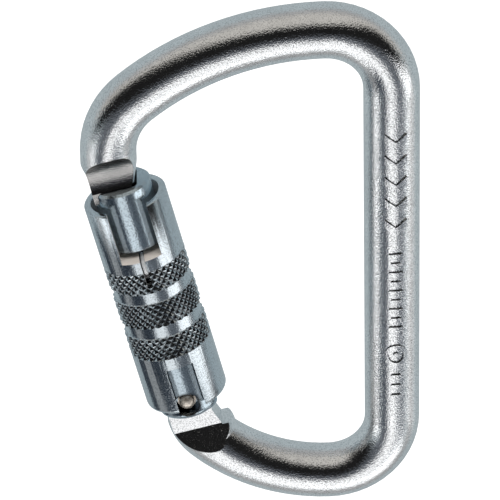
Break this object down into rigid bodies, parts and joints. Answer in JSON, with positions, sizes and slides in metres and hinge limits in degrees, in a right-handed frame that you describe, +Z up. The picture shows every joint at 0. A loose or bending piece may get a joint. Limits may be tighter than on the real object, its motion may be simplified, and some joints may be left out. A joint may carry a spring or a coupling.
{
  "type": "locking carabiner",
  "caption": "Steel D-shaped carabiner with a spring-closed gate and a knurled sleeve that twists to lock it.",
  "frame": {"origin": "inside of the top bend, on the mid plane, where the anchor or rope sits (the anchor_seat mount)", "axes": "+Z up along the spine and the load axis, towards the top bend; +X from the gate to the spine; the front, with the sleeve's window, faces -Y"},
  "size_m": [0.0721, 0.0182, 0.1202],
  "materials": {
    "frame_steel": "zinc-plated, satin with a fine grain",
    "gate_steel": "zinc-plated, turned, slightly blue",
    "sleeve_steel": "zinc-plated, turned and knurled",
    "pin_steel": "ground pin, worn bright",
    "spring_steel": "drawn bright wire"
  },
  "bodies": {
    "frame": {"frame_body": "frame_steel"},
    "gate": {"gate_barrel": "gate_steel", "gate_head": "gate_steel", "head_pin": "pin_steel", "pivot_rivet": "pin_steel", "gate_return_spring": "spring_steel"},
    "plunger": {"hinge_plunger": "pin_steel"},
    "sleeve": {"locking_sleeve": "sleeve_steel", "sleeve_spring": "spring_steel"}
  },
  "joints": [
    {"name": "gate_swing", "type": "hinge", "parent": "frame", "child": "gate", "pos_m": [-0.0311, 0, -0.0802], "axis": [0, 1, 0], "range_deg": [0, 38], "stiffness_Nm_per_rad": 0.15, "springref_deg": -34.38, "deforming": ["gate_return_spring"]},
    {"name": "plunger_slide", "type": "slide", "parent": "gate", "child": "plunger", "axis": [-0.2377, 0, 0.9713], "range_m": [0, 0.00105]},
    {"name": "sleeve_twist", "type": "hinge", "parent": "gate", "child": "sleeve", "pos_m": [-0.0311, 0, -0.0802], "axis": [0.2377, 0, -0.9713], "range_deg": [0, 90], "stiffness_Nm_per_rad": 0.02, "springref_deg": -45.84, "deforming": ["sleeve_spring"]}
  ],
  "couplings": [
    {"joint": "plunger_slide", "follows": "gate_swing", "m_per_rad": 0.0015711}
  ]
}
